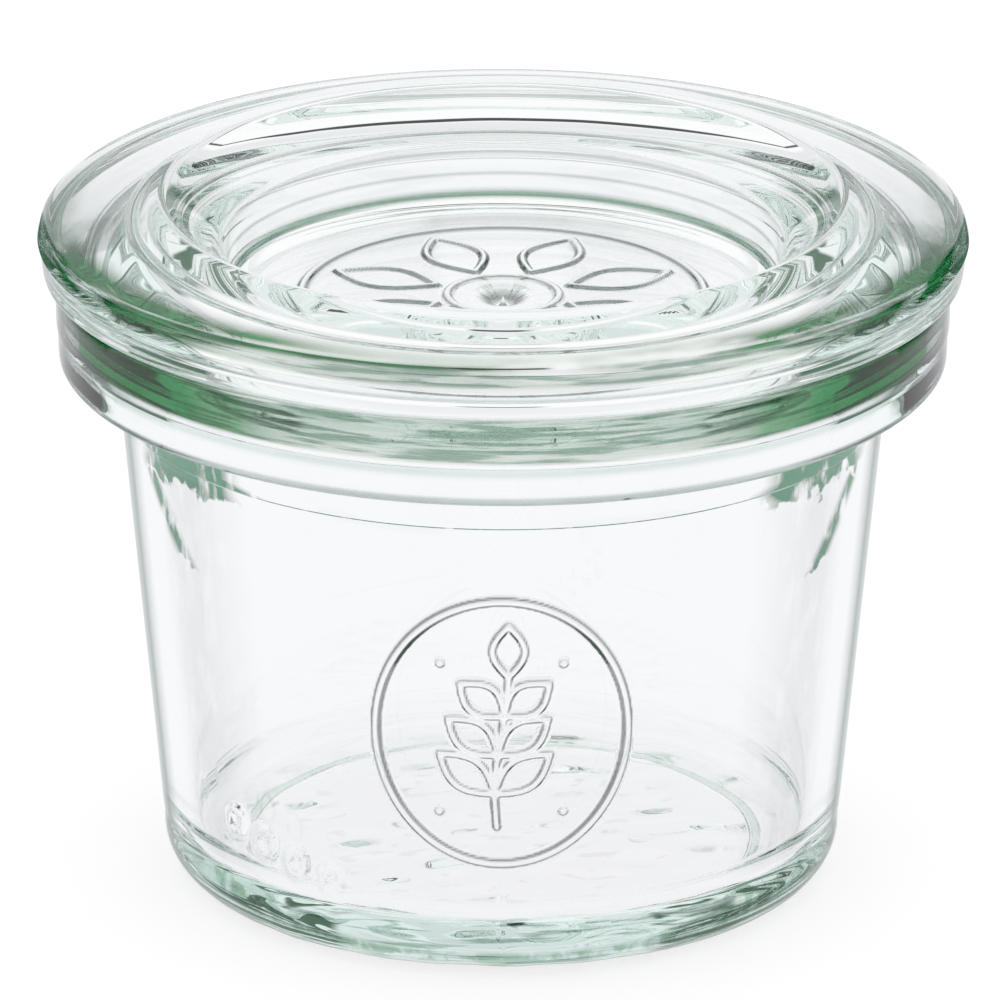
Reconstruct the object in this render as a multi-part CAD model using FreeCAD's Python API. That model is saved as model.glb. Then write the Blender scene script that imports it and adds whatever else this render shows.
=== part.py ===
import FreeCAD, Part
import math
import os

# Small pressed-glass canning jar with its loose glass lid, standing upright.
# Millimetres, +Z up.  The origin is the centre of the ring that the jar stands on.
# Two separate pieces of glass: the jar, and the lid that rests on the jar's rim.
# Every piece is a profile of radius and height, turned about the Z axis.

# ---- driving dimensions: jar ----
JAR_HEIGHT = 47.7           # rim face above the table
HEEL_RADIUS = 25.6          # outside, where the heel band ends and the wall starts
HEEL_HEIGHT = 5.0           # height of the heel line
HEEL_ROUND = 3.6            # rounding between the heel band and the underside
WALL_DRAFT = 0.0965         # growth of the outside radius for each mm of height
MOULD_STEP = 0.12           # small step at each mould line
NECK_LINE_DROP = 10.5       # mould line of the neck, below the rim face
FLANGE_DEPTH = 7.1          # from the rim face down to the flange's underside
FLANGE_OVERHANG = 4.42      # the flange's edge at the rim face stands out past the neck
NECK_RADIUS = (HEEL_RADIUS + 2 * MOULD_STEP
               + WALL_DRAFT * (JAR_HEIGHT - FLANGE_DEPTH - HEEL_HEIGHT))
FLANGE_RADIUS = NECK_RADIUS + FLANGE_OVERHANG   # outside of the flange at the rim face
FLANGE_LINE_DROP = 4.0      # mould line round the flange, below the rim face
FLANGE_DRAFT = 0.02         # shrinking of the flange's radius for each mm down
FLANGE_ROUND = 0.7          # rounding of the flange's outer edges
NECK_FILLET = 0.8           # hollow under the flange
MOUTH_RADIUS = 26.2         # inside, at the rim face
MOUTH_ROUND = 0.8           # rounding of the mouth's edge
BORE_DRAFT = 0.075          # shrinking of the inside radius for each mm down
BASE_THICKNESS = 4.0        # glass under the inner floor
BORE_FILLET = 2.8           # rounding between the inner wall and the inner floor
PUSH_UP = 0.8               # rise of the underside inside the standing ring
STANDING_RING_WIDTH = 2.2   # flat width of the ring that touches the table

# ---- driving dimensions: lid ----
LID_OVERHANG = 1.3          # the lid's widest place stands out past the flange
LID_RADIUS = FLANGE_RADIUS + LID_OVERHANG       # at the lid's mould line
LID_SIDE_HEIGHT = 2.5       # from the seat up to the mould line
LID_SIDE_DRAFT = 0.12       # shrinking of the radius for each mm below the mould line
LID_SHOULDER_HEIGHT = 1.4   # from the mould line up to the shoulder's corner
LID_SHOULDER_INSET = 0.35   # the shoulder's corner lies this far inside LID_RADIUS
LID_SHOULDER_ROUND = 1.1    # rounding of the shoulder
LID_SEAT_ROUND = 0.3        # rounding of the lid's lower outer edge
CREST_HEIGHT = 5.7          # height of the ring's crest above the seat
CREST_ROUND = 0.9           # rounding of the crest
LEDGE_DROP = 3.5            # from the crest down to the foot of its inner slope
LEDGE_ROUND = 0.8           # rounding of the foot of the slope
RECESS_DEPTH = 8.1          # from the crest down to the recess's floor
RECESS_DRAFT = 0.2          # shrinking of the recess's radius for each mm down
RECESS_FILLET = 2.0         # rounding between the recess's wall and its floor
RECESS_FLOOR = 3.0          # glass under the recess
PLUG_CLEARANCE = 0.8        # gap all round between the lid's plug and the mouth
PLUG_DRAFT = 0.1            # shrinking of the plug's radius for each mm down
PLUG_ROUND = 1.2            # rounding of the plug's lower edge
PLUG_FILLET = 0.5           # hollow between the plug and the seat
PLUG_WALL = 4.2             # glass between the plug's outside and the foot of the slope
CREST_SLOPE = 4.4           # width of the slope from that foot out to the crest
LEDGE_RADIUS = MOUTH_RADIUS - PLUG_CLEARANCE - PLUG_WALL    # foot of the crest's inner slope
CREST_RADIUS = LEDGE_RADIUS + CREST_SLOPE       # the ring's highest circle


def turned(corners):
    """Solid of revolution about Z of a closed outline.

    corners is a list of (radius, height, rounding).  Each corner with a
    rounding above zero becomes an arc tangent to its two sides.
    """
    def point(radius, height):
        return FreeCAD.Vector(radius, 0, height)

    def corner_arc(before, corner, after):
        """Start, middle and end of the arc that rounds one corner."""
        here = point(corner[0], corner[1])
        back = (point(before[0], before[1]) - here).normalize()
        onward = (point(after[0], after[1]) - here).normalize()
        half_angle = back.getAngle(onward) / 2
        reach = corner[2] / math.tan(half_angle)
        to_centre = (back + onward).normalize()
        depth = corner[2] / math.sin(half_angle) - corner[2]
        return (here + back * reach, here + to_centre * depth, here + onward * reach)

    edges = []
    first_point = None
    last_point = None
    count = len(corners)
    for index in range(count):
        corner = corners[index]
        if corner[2] > 0:
            start, middle, end = corner_arc(corners[index - 1], corner,
                                            corners[(index + 1) % count])
        else:
            start = point(corner[0], corner[1])
            end = start
        if last_point is not None:
            edges.append(Part.makeLine(last_point, start))
        if corner[2] > 0:
            edges.append(Part.Arc(start, middle, end).toShape())
        if first_point is None:
            first_point = start
        last_point = end
    edges.append(Part.makeLine(last_point, first_point))
    face = Part.Face(Part.Wire(edges))
    return face.revolve(FreeCAD.Vector(0, 0, 0), FreeCAD.Vector(0, 0, 1), 360)


def jar():
    """The jar: drafted cup with a thick base, a rounded heel and a wide flange."""
    neck_line = JAR_HEIGHT - NECK_LINE_DROP
    flange_line = JAR_HEIGHT - FLANGE_LINE_DROP
    flange_bottom = JAR_HEIGHT - FLANGE_DEPTH

    def wall(height):
        return HEEL_RADIUS + MOULD_STEP + WALL_DRAFT * (height - HEEL_HEIGHT)

    def neck(height):
        return wall(height) + MOULD_STEP

    def flange(height):
        return FLANGE_RADIUS - FLANGE_DRAFT * (JAR_HEIGHT - height)

    def bore(height):
        return MOUTH_RADIUS - BORE_DRAFT * (JAR_HEIGHT - height)

    standing_outer = HEEL_RADIUS - HEEL_ROUND
    standing_inner = standing_outer - STANDING_RING_WIDTH
    return turned([
        (0, PUSH_UP, 0),
        (standing_inner - PUSH_UP, PUSH_UP, PUSH_UP),
        (standing_inner, 0, PUSH_UP / 2),
        (HEEL_RADIUS, 0, HEEL_ROUND),
        (HEEL_RADIUS, HEEL_HEIGHT, 0),
        (wall(HEEL_HEIGHT), HEEL_HEIGHT + MOULD_STEP, 0),
        (wall(neck_line), neck_line, 0),
        (neck(neck_line), neck_line + MOULD_STEP, 0),
        (neck(flange_bottom), flange_bottom, NECK_FILLET),
        (flange(flange_bottom) - MOULD_STEP, flange_bottom, FLANGE_ROUND),
        (flange(flange_line) - MOULD_STEP, flange_line - MOULD_STEP, 0),
        (flange(flange_line), flange_line, 0),
        (FLANGE_RADIUS, JAR_HEIGHT, FLANGE_ROUND),
        (MOUTH_RADIUS, JAR_HEIGHT, MOUTH_ROUND),
        (bore(BASE_THICKNESS), BASE_THICKNESS, BORE_FILLET),
        (0, BASE_THICKNESS, 0),
    ])


def lid():
    """The lid: broad ring with a deep stacking recess and a plug for the mouth."""
    seat = JAR_HEIGHT
    mould_line = seat + LID_SIDE_HEIGHT
    shoulder = mould_line + LID_SHOULDER_HEIGHT
    crest = seat + CREST_HEIGHT
    ledge = crest - LEDGE_DROP
    recess_floor = crest - RECESS_DEPTH
    plug_bottom = recess_floor - RECESS_FLOOR
    seat_radius = LID_RADIUS - MOULD_STEP - LID_SIDE_DRAFT * LID_SIDE_HEIGHT
    recess_radius = LEDGE_RADIUS - RECESS_DRAFT * (ledge - recess_floor)

    def plug(height):
        return MOUTH_RADIUS - PLUG_CLEARANCE - PLUG_DRAFT * (seat - height)

    return turned([
        (0, recess_floor, 0),
        (0, plug_bottom, 0),
        (plug(plug_bottom), plug_bottom, PLUG_ROUND),
        (plug(seat), seat, PLUG_FILLET),
        (seat_radius, seat, LID_SEAT_ROUND),
        (LID_RADIUS - MOULD_STEP, mould_line - MOULD_STEP, 0),
        (LID_RADIUS, mould_line, 0),
        (LID_RADIUS - LID_SHOULDER_INSET, shoulder, LID_SHOULDER_ROUND),
        (CREST_RADIUS, crest, CREST_ROUND),
        (LEDGE_RADIUS, ledge, LEDGE_ROUND),
        (recess_radius, recess_floor, RECESS_FILLET),
    ])


def main():
    os.makedirs("parts", exist_ok=True)
    pieces = {"jar": jar(), "lid": lid()}
    for name, shape in pieces.items():
        shape.exportStep("parts/" + name + ".step")
        print(name, "valid", shape.isValid(), "solids", len(shape.Solids),
              "volume_cm3", round(shape.Volume / 1000, 2))


main()
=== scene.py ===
import math

import bpy
import numpy as np
from mathutils import Euler, Matrix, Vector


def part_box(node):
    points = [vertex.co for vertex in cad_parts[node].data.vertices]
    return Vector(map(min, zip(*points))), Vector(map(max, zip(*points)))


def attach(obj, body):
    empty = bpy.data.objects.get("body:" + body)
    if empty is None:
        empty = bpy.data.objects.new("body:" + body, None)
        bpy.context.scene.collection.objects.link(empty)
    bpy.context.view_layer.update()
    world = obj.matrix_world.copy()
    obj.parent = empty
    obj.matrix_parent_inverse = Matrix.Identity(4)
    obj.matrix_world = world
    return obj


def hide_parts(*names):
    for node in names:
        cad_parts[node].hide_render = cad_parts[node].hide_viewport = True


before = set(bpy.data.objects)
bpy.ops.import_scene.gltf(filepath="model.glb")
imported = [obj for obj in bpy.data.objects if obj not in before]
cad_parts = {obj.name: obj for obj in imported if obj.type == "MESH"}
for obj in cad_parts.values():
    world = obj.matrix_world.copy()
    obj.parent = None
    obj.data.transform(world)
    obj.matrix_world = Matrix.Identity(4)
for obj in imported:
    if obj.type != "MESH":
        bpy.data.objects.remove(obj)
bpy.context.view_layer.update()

MM = 0.001                    # lengths are in millimetres unless a name ends in _M
FRONT = -math.pi / 2          # the jar's front is towards -Y

# ------------------------------------------------------------------ sizes

JAR_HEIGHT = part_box("jar")[1][2] / MM
LID_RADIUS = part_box("lid")[1][0] / MM
LID_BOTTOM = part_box("lid")[0][2] / MM

MOULD_STEP = 0.12             # how far one mould part stands out past the next
MOULD_ROUND = 0.05

HEEL_RADIUS, HEEL_HEIGHT, HEEL_ROUND = 25.6, 5.0, 3.6
WALL_DRAFT, BORE_DRAFT, FLANGE_DRAFT = 0.0965, 0.075, 0.02
NECK_LINE = JAR_HEIGHT - 10.5
FLANGE_BOTTOM = JAR_HEIGHT - 7.1
FLANGE_LINE = JAR_HEIGHT - 4.0
FLANGE_RADIUS = 33.7
MOUTH_RADIUS = 26.2
BASE_THICKNESS, PUSH_UP, STANDING_RING = 4.0, 0.8, 2.2

SEAT_GAP = 0.03               # air left between the lid and the rim that it rests on
SEAT = JAR_HEIGHT + SEAT_GAP
LID_LINE = JAR_HEIGHT + 2.5
LID_SHOULDER = LID_LINE + 1.4
CREST_RADIUS, LEDGE_RADIUS = 25.6, 21.2
LID_CREST = JAR_HEIGHT + 5.7
LEDGE = LID_CREST - 3.5
RECESS_FLOOR = LID_CREST - 8.1
RECESS_RADIUS = LEDGE_RADIUS - 0.2 * (LEDGE - RECESS_FLOOR)
PLUG_CLEARANCE, PLUG_DRAFT = 0.8, 0.1

# The front's ornament, measured across and up from its middle on the wall.  A raised line
# is given by its width and its height.
EMBLEM_HEIGHT = 20.6          # of its middle
EMBLEM_REACH = 11.6           # up and down from there
EMBLEM_HALF_WIDTH = 10.4
OVAL_HALVES = (9.5, 10.8)
OVAL_LINE, LEAF_LINE, DOT = (0.85, 0.42), (0.7, 0.34), (0.9, 0.3)
STEM_FOOT, STEM_TIP = -7.8, 4.6
STEM_SWAY, SWAY_LENGTH = 0.5, 3.2
LEAF_FEET = (-5.0, -1.8, 1.4)
LEAF_SPREAD = math.radians(52)
LEAF_LENGTH, LEAF_SHORTER, LEAF_WIDTH = 5.2, 0.5, 2.5      # each pair is that much shorter
TIP_LEAF_LENGTH, TIP_LEAF_WIDTH = 4.2, 2.4
DOTS_ACROSS, DOTS_UP = (4.6, -4.6), (-6.6, 5.6)

# The recess's ornament, in the middle of its floor.
ROSETTE_LINES = ((15.2, 0.8, 0.28), (4.2, 0.7, 0.24))      # radius, width and height
PETALS, PETAL_FOOT = 8, 5.4
PETAL_LENGTH, PETAL_WIDTH, PETAL_LINE = 8.2, 4.2, (0.75, 0.26)
DIMPLE_DEPTH, DIMPLE_RADIUS = 0.8, 1.5
ROSETTE_ROOM = 17.0           # radius within which it is pressed

# Small moulded marks: a row of rings low at the left, and the seam up the heel's front.
MARKS, MARK_STEP, MARK_DROP = 4, 3.1, 0.9
MARK_ROUND_WALL, MARK_HEIGHT = -22.5, 9.6                  # of the first
MARK_RADIUS, MARK_STRETCH, MARK_LINE = 0.8, 0.8, (0.8, 0.3)
SEAM_LINE, SEAM_TOP = (0.5, 0.05), HEEL_HEIGHT + 4
GROOVES, GROOVE_LINE = (27.2, 33.2), (0.8, 0.2)            # under the lid's rim

# Unevenness of the pressed glass: height, seed, and the shortest and longest wave.
WALL_UNEVEN, BORE_UNEVEN = (0.004, 3, 8, 24), (0.006, 5, 9, 26)
FLOOR_UNEVEN, UNDER_UNEVEN = (0.055, 7, 4.5, 12), (0.045, 9, 3.5, 9)
PLUG_UNEVEN = (0.004, 11, 6, 16)
STANDING_SINK = 2.4           # keeps the waves off the table, in heights of UNDER_UNEVEN

ARC_SPACING, ARC_STEPS = 0.22, (3, 14)                     # of a rounded corner
EMBLEM_ANGLE, MARKS_ANGLE = 0.40, 1.02                     # either side of the front, and left
EMBLEM_COLUMNS, MARKS_COLUMNS, REAR_COLUMNS, LID_COLUMNS = 136, 44, 104, 380


# ------------------------------------------------------------------ turned skins

def outline(corners):
    """Points and outward normals of an outline of straight sides and tangent arcs.

    corners: (radius, height, rounding, spacing), where spacing is the distance
    between points on the side that follows.  An arc's tangent length is
    rounding / tan(half the corner's angle).  The solid is on the left of the
    outline, so the normal is the tangent turned a quarter turn clockwise.
    """
    table = np.array(corners, float)
    place, rounding, spacing = table[:, :2], table[:, 2], table[:, 3]
    last = len(table) - 1
    runs = []
    for i in range(len(table)):
        arc = place[i:i + 1]
        if 0 < i < last and rounding[i] > 0:
            back = place[i - 1] - place[i]
            onward = place[i + 1] - place[i]
            back /= np.hypot(*back)
            onward /= np.hypot(*onward)
            half = math.acos(np.clip(back @ onward, -1, 1)) / 2
            reach = rounding[i] / math.tan(half)
            middle = back + onward
            centre = place[i] + middle / np.hypot(*middle) * rounding[i] / math.sin(half)
            first = place[i] + back * reach - centre
            final = place[i] + onward * reach - centre
            turn = math.atan2(first[0] * final[1] - first[1] * final[0], first @ final)
            steps = int(np.clip(abs(turn) * rounding[i] / ARC_SPACING, *ARC_STEPS))
            angle = np.linspace(0, turn, steps + 1)[:, None]
            across = np.array([-first[1], first[0]])
            arc = centre + first * np.cos(angle) + across * np.sin(angle)
        if runs:
            start, end = runs[-1][-1], arc[0]
            count = max(1, round(np.hypot(*(end - start)) / spacing[i - 1]))
            share = np.linspace(0, 1, count + 1)[1:-1, None]
            runs.append(start + (end - start) * share)
        runs.append(arc)
    line = np.vstack([run for run in runs if len(run)])
    tangent = np.gradient(line, axis=0)
    tangent /= np.hypot(tangent[:, 0], tangent[:, 1])[:, None]
    normal = np.stack([tangent[:, 1], -tangent[:, 0]], 1)
    return line, normal


def grid_places(line, angles):
    """x, y and z of every point of an outline (without its two ends on the axis) turned
    to every angle: (r cos a, r sin a, z)."""
    radius, height = line[1:-1, :1], line[1:-1, 1:]
    return radius * np.cos(angles), radius * np.sin(angles), height + 0 * angles


def skin(name, line, normal, angles, relief):
    """Closed skin of an outline turned about Z: (r cos a, r sin a, z), each point first
    pushed out along the outline's normal by relief; the outline's two ends are poles."""
    inner_line, inner_normal = line[1:-1], normal[1:-1]
    radius = inner_line[:, :1] + relief * inner_normal[:, :1]
    height = inner_line[:, 1:] + relief * inner_normal[:, 1:]
    grid = np.stack([radius * np.cos(angles), radius * np.sin(angles), height], -1)
    rows, columns = radius.shape
    first_pole = [0, 0, line[0, 1]]
    last_pole = [0, 0, line[-1, 1]]
    verts = np.vstack([grid.reshape(-1, 3), [first_pole, last_pole]]) * MM
    index = np.arange(rows * columns).reshape(rows, columns)
    ahead = np.roll(index, -1, 1)
    quads = np.stack([index[:-1], ahead[:-1], ahead[1:], index[1:]], -1).reshape(-1, 4)
    pole = np.full(columns, rows * columns)
    first_fan = np.stack([pole, ahead[0], index[0]], -1)
    last_fan = np.stack([index[-1], ahead[-1], pole + 1], -1)
    mesh = bpy.data.meshes.new(name)
    mesh.from_pydata(verts.tolist(), [],
                     quads.tolist() + first_fan.tolist() + last_fan.tolist())
    mesh.polygons.foreach_set("use_smooth", np.ones(len(mesh.polygons), bool))
    mesh.update()
    piece = bpy.data.objects.new(name, mesh)
    bpy.context.collection.objects.link(piece)
    return piece


def waves(x, y, z, seed, shortest, longest, count=14):
    """Gentle unevenness of pressed glass, about one high and one low: a sum of count
    plane sine waves through space, of random direction, phase and length."""
    draw = np.random.default_rng(seed)
    total = 0
    for _ in range(count):
        heading = draw.normal(size=3)
        heading /= np.linalg.norm(heading)
        length = draw.uniform(shortest, longest)
        along = x * heading[0] + y * heading[1] + z * heading[2]
        total = total + np.sin(2 * math.pi * along / length + draw.uniform(0, 2 * math.pi))
    return total * math.sqrt(2 / count)


def uneven(where, places, height, seed, shortest, longest):
    """Unevenness in one part of a piece: height * where * waves, where being 0 to 1."""
    return height * where * waves(*places, seed, shortest, longest)


def fade(value, low, high):
    """Smooth step from 0 at low to 1 at high: s^2 (3 - 2s)."""
    share = np.clip((value - low) / (high - low), 0, 1)
    return share * share * (3 - 2 * share)


# ------------------------------------------------------------------ raised ornament

def bead(distance, width, height):
    """A raised line with steep sides: height * (1 - (2d / width)^2)^0.8, where d is the
    distance from the line's middle."""
    return height * np.clip(1 - (2 * distance / width) ** 2, 0, None) ** 0.8


def distance_to_path(u, v, path):
    """Shortest distance from each (u, v) to a chain of straight pieces through path."""
    nearest = np.full(u.shape, 1e9)
    for (a, b), (c, d) in zip(path[:-1], path[1:]):
        run_u, run_v = c - a, d - b
        share = ((u - a) * run_u + (v - b) * run_v) / (run_u ** 2 + run_v ** 2)
        share = np.clip(share, 0, 1)
        nearest = np.minimum(nearest, np.hypot(u - a - share * run_u, v - b - share * run_v))
    return nearest


def leaf_path(base_u, base_v, heading, length, width, count=13):
    """A leaf's edge: out along one side and back along the other, each half a sine wave."""
    share = np.linspace(0, 1, count)
    along = np.concatenate([share, share[-2::-1]]) * length
    side = np.sin(np.pi * share) * width / 2
    across = np.concatenate([side, -side[-2::-1]])
    cos_h, sin_h = math.cos(heading), math.sin(heading)
    return np.stack([base_u + along * cos_h - across * sin_h,
                     base_v + along * sin_h + across * cos_h], 1)


def sprig(u, v):
    """The front's ornament, u across and v up from its middle: an upright oval line round
    a stem with paired leaves, and four dots.  All are beads, the highest counts, and the
    stem's middle is at u = sway * sin(v / length)."""
    def stem(place):
        return STEM_SWAY * np.sin(place / SWAY_LENGTH)

    half_width, half_height = OVAL_HALVES
    turn = np.linspace(0, 2 * np.pi, 97)
    oval = np.stack([half_width * np.cos(turn), half_height * np.sin(turn)], 1)
    rise = bead(distance_to_path(u, v, oval), *OVAL_LINE)
    stem_v = np.linspace(STEM_FOOT, STEM_TIP, 15)
    paths = [np.stack([stem(stem_v), stem_v], 1)]
    for k, foot in enumerate(LEAF_FEET):
        for side in (1, -1):
            heading = math.pi / 2 - side * LEAF_SPREAD
            length = LEAF_LENGTH - LEAF_SHORTER * k
            paths.append(leaf_path(stem(foot), foot, heading, length, LEAF_WIDTH))
    paths.append(leaf_path(stem(STEM_TIP), STEM_TIP, math.pi / 2,
                           TIP_LEAF_LENGTH, TIP_LEAF_WIDTH))
    for path in paths:
        rise = np.maximum(rise, bead(distance_to_path(u, v, path), *LEAF_LINE))
    for dot_u in DOTS_ACROSS:
        for dot_v in DOTS_UP:
            rise = np.maximum(rise, bead(np.hypot(u - dot_u, v - dot_v), *DOT))
    return rise


def rosette(x, y):
    """The recess's ornament: beads along two rings and the petals between them, less a
    dimple in the middle, depth * exp(-(r / radius)^2)."""
    radius = np.hypot(x, y)
    rise = np.zeros(radius.shape)
    for ring, width, height in ROSETTE_LINES:
        rise = np.maximum(rise, bead(np.abs(radius - ring), width, height))
    for k in range(PETALS):
        heading = (2 * k + 1) * math.pi / PETALS
        foot_x, foot_y = PETAL_FOOT * math.cos(heading), PETAL_FOOT * math.sin(heading)
        petal = leaf_path(foot_x, foot_y, heading, PETAL_LENGTH, PETAL_WIDTH)
        rise = np.maximum(rise, bead(distance_to_path(x, y, petal), *PETAL_LINE))
    return rise - DIMPLE_DEPTH * np.exp(-(radius / DIMPLE_RADIUS) ** 2)


# ------------------------------------------------------------------ the jar

def wall(z):
    """Radius of the outer wall: a straight draft upwards from the heel."""
    return HEEL_RADIUS + MOULD_STEP + WALL_DRAFT * (z - HEEL_HEIGHT)


def flange(z):
    """Radius of the flange's edge: a slight draft down from the jar's top."""
    return FLANGE_RADIUS - FLANGE_DRAFT * (JAR_HEIGHT - z)


def bore(z):
    """Radius of the inside: a straight draft down from the mouth."""
    return MOUTH_RADIUS - BORE_DRAFT * (JAR_HEIGHT - z)


def jar_outline():
    """Outline from the middle underneath, up the outside and down the inside."""
    ring = HEEL_RADIUS - HEEL_ROUND - STANDING_RING
    low, high = EMBLEM_HEIGHT - EMBLEM_REACH, EMBLEM_HEIGHT + EMBLEM_REACH
    return outline([
        (0, PUSH_UP, 0, 0.9),
        (ring - PUSH_UP, PUSH_UP, PUSH_UP, 0.4),
        (ring, 0, PUSH_UP / 2, 0.6),
        (HEEL_RADIUS, 0, HEEL_ROUND, 0.5),
        (HEEL_RADIUS, HEEL_HEIGHT, MOULD_ROUND, 0.1),
        (wall(HEEL_HEIGHT), HEEL_HEIGHT + MOULD_STEP, MOULD_ROUND, 0.5),
        (wall(low), low, 0, 0.16),
        (wall(high), high, 0, 0.8),
        (wall(NECK_LINE), NECK_LINE, MOULD_ROUND, 0.1),
        (wall(NECK_LINE) + MOULD_STEP, NECK_LINE + MOULD_STEP, MOULD_ROUND, 0.7),
        (wall(FLANGE_BOTTOM) + MOULD_STEP, FLANGE_BOTTOM, 0.8, 0.7),
        (flange(FLANGE_BOTTOM) - MOULD_STEP, FLANGE_BOTTOM, 0.7, 0.6),
        (flange(FLANGE_LINE) - MOULD_STEP, FLANGE_LINE - MOULD_STEP, MOULD_ROUND, 0.1),
        (flange(FLANGE_LINE), FLANGE_LINE, MOULD_ROUND, 0.7),
        (FLANGE_RADIUS, JAR_HEIGHT, 0.7, 0.8),
        (MOUTH_RADIUS, JAR_HEIGHT, 0.8, 1.6),
        (bore(BASE_THICKNESS), BASE_THICKNESS, 2.8, 0.9),
        (0, BASE_THICKNESS, 0, 1.0),
    ])


def jar_angles():
    """Columns round the jar: close together over the emblem, less so over the small marks
    at its left, and wide apart elsewhere."""
    ends = (-MARKS_ANGLE, -EMBLEM_ANGLE, EMBLEM_ANGLE, 2 * math.pi - MARKS_ANGLE)
    columns = (MARKS_COLUMNS, EMBLEM_COLUMNS, REAR_COLUMNS)
    spans = zip(ends[:-1], ends[1:], columns)
    return FRONT + np.concatenate([np.linspace(start, end, count, endpoint=False)
                                   for start, end, count in spans])


def make_jar():
    """The jar's skin.  Its relief is the unevenness, fading where the wall, bore, floor and
    underside end, plus the ornament, the marks' rings and the seam on the outside."""
    line, normal = jar_outline()
    angles = jar_angles()
    places = x, y, z = grid_places(line, angles)
    radius = np.hypot(x, y)
    out, up = normal[1:-1, :1], normal[1:-1, 1:]
    off_front = (angles - FRONT + math.pi) % (2 * math.pi) - math.pi
    outside = fade(out, 0.90, 0.97) * fade(z, 5.6, 6.4)
    outside = outside * fade(z, FLANGE_BOTTOM, FLANGE_BOTTOM - 2)
    inside = fade(-out, 0.5, 0.95)
    floor_top = fade(up, 0.5, 0.95) * fade(z, 15, 10)
    under = fade(-up, 0.5, 0.95) * fade(z, 3, 2)
    relief = uneven(outside, places, *WALL_UNEVEN)
    relief += uneven(inside, places, *BORE_UNEVEN)
    relief += uneven(floor_top, places, *FLOOR_UNEVEN)
    standing = fade(z, 0.6, 0.1)
    relief += uneven(under, places, *UNDER_UNEVEN)
    relief -= UNDER_UNEVEN[0] * under * STANDING_SINK * standing
    u, v = radius * off_front, z - EMBLEM_HEIGHT
    near = (np.abs(u) < EMBLEM_HALF_WIDTH) & (np.abs(v) < EMBLEM_REACH) & (out > 0.9)
    relief[near] += sprig(u[near], v[near])
    for k in range(MARKS):
        mark_u = u - MARK_ROUND_WALL - MARK_STEP * k
        mark_v = MARK_STRETCH * (z - MARK_HEIGHT + MARK_DROP * k)
        from_ring = np.abs(np.hypot(mark_u, mark_v) - MARK_RADIUS)
        relief += (out > 0.9) * bead(from_ring, *MARK_LINE)
    seam = bead(np.abs(u), *SEAM_LINE)
    relief += (out > 0.5) * (z < SEAM_TOP) * fade(z, 0.5, 2) * seam
    return skin("jar_glass", line, normal, angles, relief)


# ------------------------------------------------------------------ the lid

def plug(z):
    """Radius of the plug: a straight draft down from the mouth, less the clearance."""
    return MOUTH_RADIUS - PLUG_CLEARANCE - PLUG_DRAFT * (JAR_HEIGHT - z)


def lid_outline():
    """Outline from the middle underneath, out along the seat, up the side, over the crest
    and down into the recess."""
    return outline([
        (0, LID_BOTTOM, 0, 1.0),
        (plug(LID_BOTTOM), LID_BOTTOM, 1.2, 0.7),
        (plug(SEAT), SEAT, 0.5, 0.16),
        (LID_RADIUS - MOULD_STEP - 0.3, SEAT, 0.3, 0.5),
        (LID_RADIUS - MOULD_STEP, LID_LINE - MOULD_STEP, MOULD_ROUND, 0.1),
        (LID_RADIUS, LID_LINE, MOULD_ROUND, 0.3),
        (LID_RADIUS - 0.35, LID_SHOULDER, 1.1, 0.6),
        (CREST_RADIUS, LID_CREST, 0.9, 0.6),
        (LEDGE_RADIUS, LEDGE, 0.8, 0.6),
        (RECESS_RADIUS, RECESS_FLOOR, 2.0, 0.25),
        (0, RECESS_FLOOR, 0, 1.0),
    ])


def make_lid():
    """The lid's skin.  Its relief is the unevenness underneath, less the two grooves in the
    seat, plus the ornament on the recess's floor."""
    line, normal = lid_outline()
    angles = np.linspace(0, 2 * math.pi, LID_COLUMNS, endpoint=False)
    places = x, y, z = grid_places(line, angles)
    radius = np.hypot(x, y)
    up = normal[1:-1, 1:] + 0 * angles
    under = fade(-up, 0.5, 0.95)
    relief = uneven(under, places, *PLUG_UNEVEN)
    for groove in GROOVES:
        relief -= under * (z > SEAT - 0.1) * bead(np.abs(radius - groove), *GROOVE_LINE)
    middle = (radius < ROSETTE_ROOM) & (up > 0.9) & (z < RECESS_FLOOR + 0.5)
    relief[middle] += rosette(x[middle], y[middle])
    return skin("lid_glass", line, normal, angles, relief)


# ------------------------------------------------------------------ glass

# Facing is 0 where glass faces the eye and 1 where it is seen edge on.  A cover is the two
# values of noise between which a coat of painted shade comes to show.
CLEAR = (1.0, 1.0, 1.0, 1)
# Painted shade: the outer side is darkened to this where it is seen edge on, for the dark edges
# that refraction and long paths through the glass give.
EDGE_SHADE = (0.02, 0.06, 0.04, 1)
EDGE_SHADE_BAND = (-10.0, LID_SHOULDER - 0.4)
JAR_EDGE_SHADE, LID_EDGE_SHADE = (0.74, 0.84), (0.82, 0.92)   # of facing, where it starts and is full
GLASS_IOR = 1.52
TINT, TINT_DENSITY = (0.0, 0.86, 0.52, 1), 2.0    # what the glass takes up in its depth
BAND_SOFT = 0.2               # half the height over which a band's end fades
RAGGED_WAVES = 420.0          # noise waves a metre along a band's ends
NOISE_DETAIL = 3.0
EVERYWHERE = (-1.0, 0.0)      # a cover that no noise falls below
# Tones of painted shade, from pale to deep green, and for patches at the neck, green at the
# heel, streak lines and grey at the wall's sides: they stand for the darkness that refraction
# and long paths through the glass give.
PALE_SHADE, LIGHT_SHADE = (0.52, 0.60, 0.53, 1), (0.04, 0.16, 0.055, 1)
MIDDLE_SHADE, DEEP_SHADE = (0.002, 0.075, 0.010, 1), (0.0, 0.03, 0.001, 1)
NECK_PATCH_SHADE, HEEL_GREEN_SHADE = (0.02, 0.10, 0.045, 1), (0.26, 0.44, 0.31, 1)
STREAK_SHADE, SIDE_SHADE = (0.20, 0.32, 0.25, 1), (0.72, 0.73, 0.74, 1)
ALONG, FINE = (90.0, 90.0, 900.0), (130.0, 130.0, 2600.0)      # noise waves a metre
UPRIGHT = (700.0, 700.0, 260.0)
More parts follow.
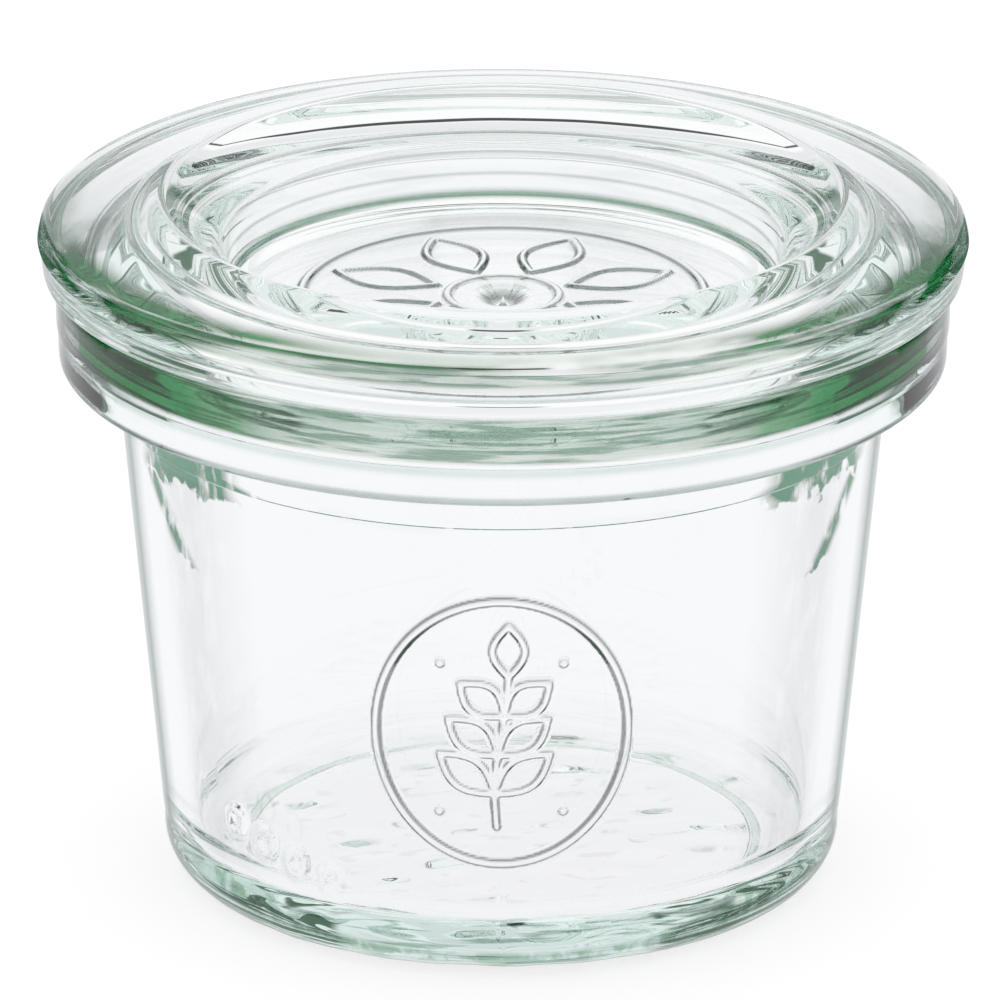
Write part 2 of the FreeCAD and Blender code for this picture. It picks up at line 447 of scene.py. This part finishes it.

# Coats of painted shade on a piece's outer side, darker by facing: the band of heights, how
# far noise moves its ends, the tones by facing, how much less facing counts for each
# millimetre up, the noise's waves a metre along x, y and z, and its cover.
FLANGE_BAND = (FLANGE_LINE + 0.4, JAR_HEIGHT - 0.2)
JAR_SHADE_COATS = (
    (FLANGE_BAND, 0.0,
     ((0.0, PALE_SHADE), (0.14, PALE_SHADE), (0.25, LIGHT_SHADE), (0.34, MIDDLE_SHADE), (0.46, DEEP_SHADE), (0.70, DEEP_SHADE),
      (0.80, PALE_SHADE), (0.95, PALE_SHADE)), 0.0, ALONG, (0.05, 0.30)),
    (FLANGE_BAND, 0.0, ((0.0, STREAK_SHADE), (0.34, STREAK_SHADE), (0.42, CLEAR)), 0.0, FINE, (0.44, 0.60)),
    ((NECK_LINE - 1.2, FLANGE_BOTTOM - 0.6), 6.0,
     ((0.0, CLEAR), (0.35, CLEAR), (0.40, NECK_PATCH_SHADE), (0.68, NECK_PATCH_SHADE), (0.74, CLEAR)),
     0.0, UPRIGHT, (0.20, 0.46)),
    ((NECK_LINE - 8.0, NECK_LINE - 1.6), 6.0,
     ((0.0, CLEAR), (0.49, CLEAR), (0.52, NECK_PATCH_SHADE), (0.55, NECK_PATCH_SHADE), (0.58, CLEAR)),
     0.022, UPRIGHT, (0.30, 0.48)),
    ((0.8, HEEL_HEIGHT - 0.8), 6.0,
     ((0.0, CLEAR), (0.26, CLEAR), (0.38, HEEL_GREEN_SHADE), (0.52, HEEL_GREEN_SHADE), (0.66, CLEAR)),
     0.0, UPRIGHT, (0.36, 0.56)),
    ((0.6, HEEL_HEIGHT - 0.6), 2.0, ((0.0, STREAK_SHADE), (1.0, STREAK_SHADE)), 0.0, FINE, (0.52, 0.62)),
    ((HEEL_HEIGHT + 0.6, NECK_LINE - 0.6), 0.0,
     ((0.0, CLEAR), (0.34, CLEAR), (0.50, SIDE_SHADE), (0.57, SIDE_SHADE), (0.66, CLEAR)),
     0.0, UPRIGHT, (0.0, 0.6)),
)
LID_SIDE_BAND = (LID_LINE + 0.3, LID_SHOULDER + 0.5)
LID_SHADE_COATS = (
    (LID_SIDE_BAND, 0.0,
     ((0.0, PALE_SHADE), (0.16, PALE_SHADE), (0.26, LIGHT_SHADE), (0.34, MIDDLE_SHADE), (0.42, MIDDLE_SHADE), (0.46, PALE_SHADE),
      (0.485, PALE_SHADE), (0.51, MIDDLE_SHADE), (0.62, MIDDLE_SHADE), (0.72, PALE_SHADE), (0.84, CLEAR)),
     0.0, ALONG, (0.25, 0.48)),
    (LID_SIDE_BAND, 0.0, ((0.0, STREAK_SHADE), (0.40, STREAK_SHADE), (0.50, CLEAR)), 0.0, FINE, (0.44, 0.60)),
)
SHADE_REACH = 60.0            # the height or radius that a ramp's end stands for
# Painted shade by height: darker bands at the heel, under the flange and below the flange's
# line on the jar, and at the foot and along two lines of the lid's recess.
HEEL_SHADE, RIM_SHADE = (0.64, 0.74, 0.72, 1), (0.30, 0.37, 0.35, 1)
LINE_SHADE, FOOT_SHADE = (0.42, 0.46, 0.45, 1), (0.10, 0.20, 0.14, 1)
JAR_SHADES = ((0.0, HEEL_SHADE), (HEEL_HEIGHT - 0.6, HEEL_SHADE), (HEEL_HEIGHT + 0.2, CLEAR),
              (FLANGE_BOTTOM - 0.2, CLEAR), (FLANGE_BOTTOM + 0.1, RIM_SHADE),
              (FLANGE_BOTTOM + 0.6, RIM_SHADE), (FLANGE_BOTTOM + 0.9, CLEAR),
              (FLANGE_LINE - 0.9, CLEAR), (FLANGE_LINE - 0.6, HEEL_SHADE),
              (FLANGE_LINE - 0.2, HEEL_SHADE), (FLANGE_LINE, CLEAR))
LID_SHADES = ((0.0, CLEAR), (RECESS_FLOOR + 0.7, CLEAR), (RECESS_FLOOR + 0.85, FOOT_SHADE),
              (RECESS_FLOOR + 1.25, FOOT_SHADE), (RECESS_FLOOR + 1.4, CLEAR),
              (RECESS_FLOOR + 2.45, CLEAR), (RECESS_FLOOR + 2.5, LINE_SHADE),
              (RECESS_FLOOR + 2.65, LINE_SHADE), (RECESS_FLOOR + 2.7, CLEAR),
              (LEDGE - 0.65, CLEAR), (LEDGE - 0.6, LINE_SHADE),
              (LEDGE - 0.45, LINE_SHADE), (LEDGE - 0.4, CLEAR))
SHADED_THROUGHOUT = FLANGE_LINE + 0.1     # above it the inner sides are shaded too
WALL_MIDDLE, WALL_LEAN = 23.9, 0.087      # radius at the foot, and its gain with height
# Painted shade: dark grey on the flanks of the raised ornaments, so that they read as lines,
# and two darker rings at the seat beside the lid's grooves.
RIDGE_SHADE = (0.11, 0.12, 0.12, 1)
RING_SHADE = (0.42, 0.48, 0.46, 1)
RIDGE_SLOPE = (0.74, 0.95)                # the normal's part outwards: a full flank, none
RIDGE_BOX = (EMBLEM_HALF_WIDTH + 0.2, EMBLEM_REACH)
RING_SHADE_BAND = (SEAT - 0.25, SEAT + 0.25)
RING_SHADES = ((0.0, CLEAR), (26.5, CLEAR), (26.7, RING_SHADE), (27.2, RING_SHADE), (27.4, CLEAR),
         (32.6, CLEAR), (32.8, RING_SHADE), (33.3, RING_SHADE), (33.5, CLEAR))
ROSETTE_REACH = 16.5
ROSETTE_BAND = (RECESS_FLOOR - 1.2, RECESS_FLOOR + 0.6)
ROSETTE_SLOPE = (0.90, 0.985)             # the normal's part upwards: a full flank, none


def feed(tree, socket, value):
    """Put value into a node's input: a link from a socket, or a plain number or colour."""
    if isinstance(value, bpy.types.NodeSocket):
        tree.links.new(value, socket)
    else:
        socket.default_value = value


def sums(tree, operation, first, second=0.0):
    """One Math node over two sockets or plain numbers."""
    node = tree.nodes.new("ShaderNodeMath")
    node.operation = operation
    feed(tree, node.inputs[0], first)
    feed(tree, node.inputs[1], second)
    return node.outputs[0]


def product(tree, first, *others):
    """The product of sockets or plain numbers, one Math node after the other."""
    for other in others:
        first = sums(tree, "MULTIPLY", first, other)
    return first


def vector_sums(tree, operation, first, second=(0, 0, 0)):
    """One Vector Math node over two vectors, and the vector or number that it puts out."""
    node = tree.nodes.new("ShaderNodeVectorMath")
    node.operation = operation
    feed(tree, node.inputs[0], first)
    feed(tree, node.inputs[1], second)
    return node.outputs["Value" if operation in ("LENGTH", "DOT_PRODUCT") else "Vector"]


def parts_of(tree, vector):
    """The x, y and z of a vector."""
    node = tree.nodes.new("ShaderNodeSeparateXYZ")
    tree.links.new(vector, node.inputs[0])
    return tuple(node.outputs)


def soft_step(tree, value, low, high):
    """Smooth step from 0 at low to 1 at high, which may lie below low."""
    node = tree.nodes.new("ShaderNodeMapRange")
    node.interpolation_type = "SMOOTHSTEP"
    feed(tree, node.inputs["Value"], value)
    feed(tree, node.inputs["From Min"], low)
    feed(tree, node.inputs["From Max"], high)
    return node.outputs["Result"]


def noise(tree, place, scale):
    """Noise of that many waves a metre, 0 to 1 about 0.5."""
    node = tree.nodes.new("ShaderNodeTexNoise")
    node.inputs["Scale"].default_value = scale
    node.inputs["Detail"].default_value = NOISE_DETAIL
    tree.links.new(place, node.inputs["Vector"])
    return node.outputs["Fac"]


def colour_mix(tree, mode, amount, first, second):
    """Mix of two colours: the first where amount is 0, the full mix where it is 1."""
    node = tree.nodes.new("ShaderNodeMix")
    node.data_type = "RGBA"
    node.blend_type = mode
    for index, value in ((0, amount), (6, first), (7, second)):      # Factor, A and B
        feed(tree, node.inputs[index], value)
    return node.outputs[2]


def ramp(tree, factor, stops):
    """Colours over factor, from (position, tone) pairs in rising order; a plain number is
    a grey."""
    node = tree.nodes.new("ShaderNodeValToRGB")
    elements = node.color_ramp.elements
    elements.remove(elements[1])
    elements[0].position = stops[0][0]
    for k, (position, tone) in enumerate(stops):
        element = elements[0] if k == 0 else elements.new(position)
        element.color = tone if isinstance(tone, tuple) else (tone, tone, tone, 1)
    tree.links.new(factor, node.inputs["Fac"])
    return node.outputs["Color"]


def new_group(name, inputs, outputs):
    """An empty shader node group, the sockets of its inputs and those of its outputs."""
    tree = bpy.data.node_groups.new(name, "ShaderNodeTree")
    for label, kind in inputs:
        tree.interface.new_socket(label, in_out="INPUT", socket_type="NodeSocket" + kind)
    for label, kind in outputs:
        tree.interface.new_socket(label, in_out="OUTPUT", socket_type="NodeSocket" + kind)
    given, put = tree.nodes.new("NodeGroupInput"), tree.nodes.new("NodeGroupOutput")
    return tree, given.outputs, put.inputs


def place_group():
    """Group that measures a place on the glass: its height, its distance from the axis, and
    1 on the outside of the wall and 0 on the bore, where the distance, less what the wall
    gains with height, is past the wall's middle."""
    tree, given, put = new_group("glass_place", (("Place", "Vector"),),
                                 (("Height", "Float"), ("Radius", "Float"), ("Outer", "Float")))
    height = parts_of(tree, given["Place"])[2]
    flat = vector_sums(tree, "MULTIPLY", given["Place"], (1, 1, 0))
    radius = vector_sums(tree, "LENGTH", flat)
    upright = sums(tree, "SUBTRACT", radius, product(tree, height, WALL_LEAN))
    feed(tree, put["Height"], height)
    feed(tree, put["Radius"], radius)
    feed(tree, put["Outer"], sums(tree, "GREATER_THAN", upright, WALL_MIDDLE * MM))
    return tree


def shade_coat_group():
    """Group that lays one coat of painted shade over a tint: the tint times the tone, by Side,
    between two heights whose ends are soft and are moved by noise of that reach, and where a
    second noise, squeezed to Waves a metre along x, y and z, is past a soft step."""
    tree, given, put = new_group(
        "glass_shade_coat",
        (("Tint", "Color"), ("Tone", "Color"), ("Place", "Vector"), ("Side", "Float"),
         ("Low", "Float"), ("High", "Float"), ("Reach", "Float"), ("Waves", "Vector"),
         ("Cover Starts", "Float"), ("Cover Full", "Float")),
        (("Tint", "Color"),))
    moved = sums(tree, "SUBTRACT", noise(tree, given["Place"], RAGGED_WAVES), 0.5)
    moved = product(tree, moved, given["Reach"])
    height = sums(tree, "ADD", parts_of(tree, given["Place"])[2], moved)
    soft = BAND_SOFT * MM
    ends = []
    for label in ("Low", "High"):
        starts = sums(tree, "SUBTRACT", given[label], soft)
        full = sums(tree, "ADD", given[label], soft)
        ends.append(soft_step(tree, height, starts, full))
    band = sums(tree, "SUBTRACT", *ends)
    squeezed = vector_sums(tree, "MULTIPLY", given["Place"], given["Waves"])
    grain = noise(tree, squeezed, 1.0)
    cover = soft_step(tree, grain, given["Cover Starts"], given["Cover Full"])
    amount = product(tree, band, cover, given["Side"])
    feed(tree, put["Tint"], colour_mix(tree, "MULTIPLY", amount, given["Tint"], given["Tone"]))
    return tree


def shade_coated(tree, tint, tone, place, side, band, reach=0.0, waves_a_metre=ALONG,
           cover=EVERYWHERE):
    """The tint under one coat of painted shade: one such group node with its own values."""
    node = tree.nodes.new("ShaderNodeGroup")
    node.node_tree = SHADE_COAT_GROUP
    low, high = band
    values = (tint, tone, place, side, low * MM, high * MM, reach * MM, waves_a_metre) + cover
    for socket, value in zip(node.inputs, values):
        feed(tree, socket, value)
    return node.outputs["Tint"]


def sprig_flanks(tree, place):
    """1 on the flanks of the front's ornament: in the upright box round it, where the
    normal's part along the radius falls below the wall's."""
    flat = vector_sums(tree, "MULTIPLY", place, (1, 1, 0))
    outward = vector_sums(tree, "NORMALIZE", flat)
    normal = tree.nodes.new("ShaderNodeNewGeometry").outputs["Normal"]
    along = vector_sums(tree, "DOT_PRODUCT", normal, outward)
    slope = sums(tree, "SUBTRACT", 1.0, soft_step(tree, along, *RIDGE_SLOPE))
    x, y, z = parts_of(tree, place)
    half_width, half_height = RIDGE_BOX
    beside = sums(tree, "LESS_THAN", sums(tree, "ABSOLUTE", x), half_width * MM)
    away = sums(tree, "ABSOLUTE", sums(tree, "SUBTRACT", z, EMBLEM_HEIGHT * MM))
    level = sums(tree, "LESS_THAN", away, half_height * MM)
    front = sums(tree, "LESS_THAN", y, 0.0)
    outside = sums(tree, "GREATER_THAN", along, 0.0)
    return product(tree, slope, beside, level, front, outside)


def rosette_flanks(tree, place):
    """1 where the floor of the lid's recess slopes at its ornament, 0 where it is level."""
    normal = tree.nodes.new("ShaderNodeNewGeometry").outputs["Normal"]
    level = soft_step(tree, parts_of(tree, normal)[2], *ROSETTE_SLOPE)
    slope = sums(tree, "SUBTRACT", 1.0, level)
    flat = vector_sums(tree, "MULTIPLY", place, (1, 1, 0))
    inside = sums(tree, "LESS_THAN", vector_sums(tree, "LENGTH", flat), ROSETTE_REACH * MM)
    z = parts_of(tree, place)[2]
    low, high = ROSETTE_BAND
    above = sums(tree, "GREATER_THAN", z, low * MM)
    below = sums(tree, "LESS_THAN", z, high * MM)
    return product(tree, slope, above, below, inside)


def tones_along(tree, measure, stops):
    """Colours over a height or a radius, from (millimetres, tone) pairs."""
    share = sums(tree, "DIVIDE", measure, SHADE_REACH * MM)
    return ramp(tree, share, [(place / SHADE_REACH, tone) for place, tone in stops])


def glass(name, edge_shade_turn, shade_coats, shades, flanks):
    """Clear pressed glass with a faint sea-green tint, its colour painted with shade.  Its
    outer side is painted dark where it is seen edge on, has the piece's painted shade coat by
    coat and painted shade bands by height; two painted darker rings lie where lid and jar meet,
    and the flanks of the piece's ornament are painted grey.  These stand for the darkness that
    refraction and long paths through the glass give."""
    material = bpy.data.materials.new(name)
    material.use_nodes = True
    tree = material.node_tree
    nodes = tree.nodes
    shader = nodes["Principled BSDF"]
    shader.inputs["Roughness"].default_value = 0.0
    shader.inputs["IOR"].default_value = GLASS_IOR
    shader.inputs["Transmission Weight"].default_value = 1.0
    weight = nodes.new("ShaderNodeLayerWeight")
    weight.inputs["Blend"].default_value = 0.5
    facing = weight.outputs["Facing"]
    place = nodes.new("ShaderNodeTexCoord").outputs["Object"]
    measured = nodes.new("ShaderNodeGroup")
    measured.node_tree = PLACE_GROUP
    tree.links.new(place, measured.inputs["Place"])
    height, radius, outer = measured.outputs
    from_inside = nodes.new("ShaderNodeNewGeometry").outputs["Backfacing"]
    from_air = sums(tree, "SUBTRACT", 1.0, from_inside)
    entry = product(tree, outer, from_air)
    edge_starts, edge_full = edge_shade_turn
    # Painted shade: darker where the glass is seen edge on.
    edge = ramp(tree, facing, ((edge_starts, CLEAR), (edge_full, EDGE_SHADE)))
    tint = shade_coated(tree, CLEAR, edge, place, outer, EDGE_SHADE_BAND)
    # Painted green and grey shade, coat by coat.
    for band, reach, tones, lean, waves_a_metre, cover in shade_coats:
        climb = sums(tree, "SUBTRACT", height, band[0] * MM)
        turn = sums(tree, "SUBTRACT", facing, product(tree, climb, lean / MM))
        tone = ramp(tree, turn, tones)
        tint = shade_coated(tree, tint, tone, place, entry, band, reach, waves_a_metre, cover)
    # Painted shade: two darker rings at the seat.
    tint = shade_coated(tree, tint, tones_along(tree, radius, RING_SHADES), place, 1.0, RING_SHADE_BAND)
    # Painted shade bands by height.
    throughout = sums(tree, "GREATER_THAN", height, SHADED_THROUGHOUT * MM)
    shaded = product(tree, from_air, sums(tree, "MAXIMUM", outer, throughout))
    tint = colour_mix(tree, "MULTIPLY", shaded, tint, tones_along(tree, height, shades))
    # Painted shade: grey on the flanks of the ornament.
    flank = product(tree, flanks(tree, place), from_air)
    feed(tree, shader.inputs["Base Color"], colour_mix(tree, "MIX", flank, tint, RIDGE_SHADE))
    volume = nodes.new("ShaderNodeVolumeAbsorption")
    volume.inputs["Color"].default_value = TINT
    volume.inputs["Density"].default_value = TINT_DENSITY
    tree.links.new(volume.outputs["Volume"], nodes["Material Output"].inputs["Volume"])
    return material


# ---------------------------------------------------------------- stage, light and camera

def seen_in_glass(tree):
    """1 for a ray that has passed through or been reflected by something, else 0."""
    light_path = tree.nodes.new("ShaderNodeLightPath")
    return sums(tree, "MAXIMUM", light_path.outputs["Is Glossy Ray"],
                light_path.outputs["Is Transmission Ray"])


def swapped_in_glass(tree, plain, in_glass, output):
    """Sends plain to the output, and in_glass where it is seen in the glass."""
    mix = tree.nodes.new("ShaderNodeMixShader")
    for socket, value in zip(mix.inputs, (seen_in_glass(tree), plain.outputs[0],
                                          in_glass.outputs[0])):
        tree.links.new(value, socket)
    tree.links.new(mix.outputs[0], output.inputs["Surface"])


def diagonal(tree, x, y):
    """1 in the four diagonal directions and 0 along X and Y: |2xy| / (x^2 + y^2)."""
    crossed = sums(tree, "ABSOLUTE", product(tree, x, y))
    squares = sums(tree, "ADD", product(tree, x, x), product(tree, y, y))
    return sums(tree, "DIVIDE", product(tree, crossed, 2.0), squares)


# What is seen in the glass: a white room and table with dark green flags in the four
# diagonal directions and, behind, one narrow dark gap, and on the table a painted shadow
# round the jar.  Pairs are where a thing starts and where it is full, heights are in degrees
# above the horizon, and the table's distances from the jar's axis are in metres.
WHITE = (0.955, 0.95, 0.97, 1)
# The second tone is a painted shadow: the table seen in the glass is greyer close round the
# jar.
DIM, SHADOW_NEAR_JAR = (0.84, 0.835, 0.855, 1), (0.90, 0.89, 0.91, 1)
FLAG_SPREAD = (0.64, 0.70)           # of diagonal()
FLAG_LIGHT, GAP_LIGHT = (0.03, 0.11, 0.055, 1), (0.002, 0.009, 0.006, 1)
TABLE_LIGHT_M = ((0.0, SHADOW_NEAR_JAR), (0.018, SHADOW_NEAR_JAR), (0.040, WHITE), (1.0, WHITE))
TABLE_FLAG_M = (0.13, 0.19)
ROOM_LIGHT = ((-90, WHITE), (6, WHITE), (10, DIM), (27, DIM), (31, 1.0), (90, 1.0))
BACK_HALF = (-0.05, 0.05)            # of the direction's y
BACK_FLAG_TOP, FRONT_FLAG_TOP = (29, 23), (8, 3)
GAP_WIDTH = (0.035, 0.02)            # of the direction's x
GAP_HEIGHT = (30.5, 31.5, 36.0, 37.5)
TABLE_GREY, TABLE_GLOW = (0.42, 0.42, 0.42, 1), 0.68
TABLE_HALF_M = 3.0

CAMERA_DISTANCE_M, CAMERA_AIM = 1.2, 27.0
CAMERA_RISE, CAMERA_ROLL = math.radians(20.448), math.radians(0.186)
CAMERA_LENS, CAMERA_SENSOR, CAMERA_SHIFT = 571.4, 36, (-0.00227, 0.02326)
LIGHT_BOUNCES = 20


def make_floor():
    """A square white table that glows a little, and shines as TABLE_LIGHT_M and the flags
    say where it is seen in the glass; there TABLE_LIGHT_M paints a shadow close round the jar."""
    mesh = bpy.data.meshes.new("floor")
    half = TABLE_HALF_M
    mesh.from_pydata([(-half, -half, 0), (half, -half, 0), (half, half, 0), (-half, half, 0)],
                     [], [(0, 1, 2, 3)])
    floor = bpy.data.objects.new("floor", mesh)
    bpy.context.collection.objects.link(floor)
    material = bpy.data.materials.new("white_table")
    material.use_nodes = True
    tree = material.node_tree
    shader = tree.nodes["Principled BSDF"]
    shader.inputs["Base Color"].default_value = TABLE_GREY
    shader.inputs["Roughness"].default_value = 0.9
    shader.inputs["Specular IOR Level"].default_value = 0.0
    shader.inputs["Emission Color"].default_value = (1, 1, 1, 1)
    shader.inputs["Emission Strength"].default_value = TABLE_GLOW
    place = tree.nodes.new("ShaderNodeTexCoord").outputs["Object"]
    distance = vector_sums(tree, "LENGTH", place)
    x, y, _ = parts_of(tree, place)
    flag = soft_step(tree, diagonal(tree, x, y), *FLAG_SPREAD)
    far = soft_step(tree, distance, *TABLE_FLAG_M)
    light = colour_mix(tree, "MIX", product(tree, flag, far),
                       ramp(tree, distance, TABLE_LIGHT_M), FLAG_LIGHT)
    glow = tree.nodes.new("ShaderNodeEmission")
    tree.links.new(light, glow.inputs["Color"])
    swapped_in_glass(tree, shader, glow, tree.nodes["Material Output"])
    floor.data.materials.append(material)


def rise(degrees):
    """Z of a unit direction that many degrees above the horizon."""
    return math.sin(math.radians(degrees))


def make_world():
    """Plain white light from all round, and the room of ROOM_LIGHT, the flags and the gap
    where it is seen in the glass."""
    world = bpy.data.worlds.new("studio")
    bpy.context.scene.world = world
    world.use_nodes = True
    tree = world.node_tree
    plain = tree.nodes["Background"]
    plain.inputs["Color"].default_value = (1, 1, 1, 1)
    plain.inputs["Strength"].default_value = 1.0
    x, y, z = parts_of(tree, tree.nodes.new("ShaderNodeTexCoord").outputs["Generated"])
    level = product(tree, sums(tree, "ADD", z, 1.0), 0.5)
    light = ramp(tree, level, [(0.5 + 0.5 * rise(angle), tone) for angle, tone in ROOM_LIGHT])
    flag = soft_step(tree, diagonal(tree, x, y), *FLAG_SPREAD)
    behind = soft_step(tree, y, *BACK_HALF)
    back_top = soft_step(tree, z, *map(rise, BACK_FLAG_TOP))
    front_top = soft_step(tree, z, *map(rise, FRONT_FLAG_TOP))
    reach = sums(tree, "MAXIMUM", product(tree, behind, back_top), front_top)
    light = colour_mix(tree, "MIX", product(tree, flag, reach), light, FLAG_LIGHT)
    low, low_full, high_full, high = map(rise, GAP_HEIGHT)
    gap = product(tree, soft_step(tree, z, low, low_full), soft_step(tree, z, high, high_full),
                  soft_step(tree, sums(tree, "ABSOLUTE", x), *GAP_WIDTH), behind)
    light = colour_mix(tree, "MIX", gap, light, GAP_LIGHT)
    room = tree.nodes.new("ShaderNodeBackground")
    tree.links.new(light, room.inputs["Color"])
    swapped_in_glass(tree, plain, room, tree.nodes["World Output"])


def make_camera():
    """A long lens in front, looking down at the jar's axis at CAMERA_AIM and rolled a
    little about its own line of sight."""
    data = bpy.data.cameras.new("camera")
    data.sensor_width = CAMERA_SENSOR
    data.lens = CAMERA_LENS
    data.shift_x, data.shift_y = CAMERA_SHIFT
    data.clip_start = 0.05
    camera = bpy.data.objects.new("camera", data)
    bpy.context.collection.objects.link(camera)
    back = CAMERA_DISTANCE_M * math.cos(CAMERA_RISE)
    camera.location = (0, -back, CAMERA_AIM * MM + CAMERA_DISTANCE_M * math.sin(CAMERA_RISE))
    camera.rotation_mode = "XYZ"
    tilt = Euler((math.pi / 2 - CAMERA_RISE, 0, 0)).to_matrix()
    camera.rotation_euler = (tilt @ Matrix.Rotation(CAMERA_ROLL, 3, "Z")).to_euler()
    bpy.context.scene.camera = camera


PLACE_GROUP = place_group()
SHADE_COAT_GROUP = shade_coat_group()
jar = make_jar()
lid = make_lid()
jar.data.materials.append(glass("jar_glass", JAR_EDGE_SHADE, JAR_SHADE_COATS, JAR_SHADES, sprig_flanks))
lid.data.materials.append(glass("lid_glass", LID_EDGE_SHADE, LID_SHADE_COATS, LID_SHADES, rosette_flanks))
for piece, node in ((jar, "jar"), (lid, "lid")):
    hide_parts(node)
    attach(piece, "root")
make_floor()
make_world()
make_camera()
scene = bpy.context.scene
scene.view_settings.view_transform = "Standard"
scene.cycles.max_bounces = LIGHT_BOUNCES
scene.cycles.transmission_bounces = LIGHT_BOUNCES
scene.cycles.glossy_bounces = LIGHT_BOUNCES
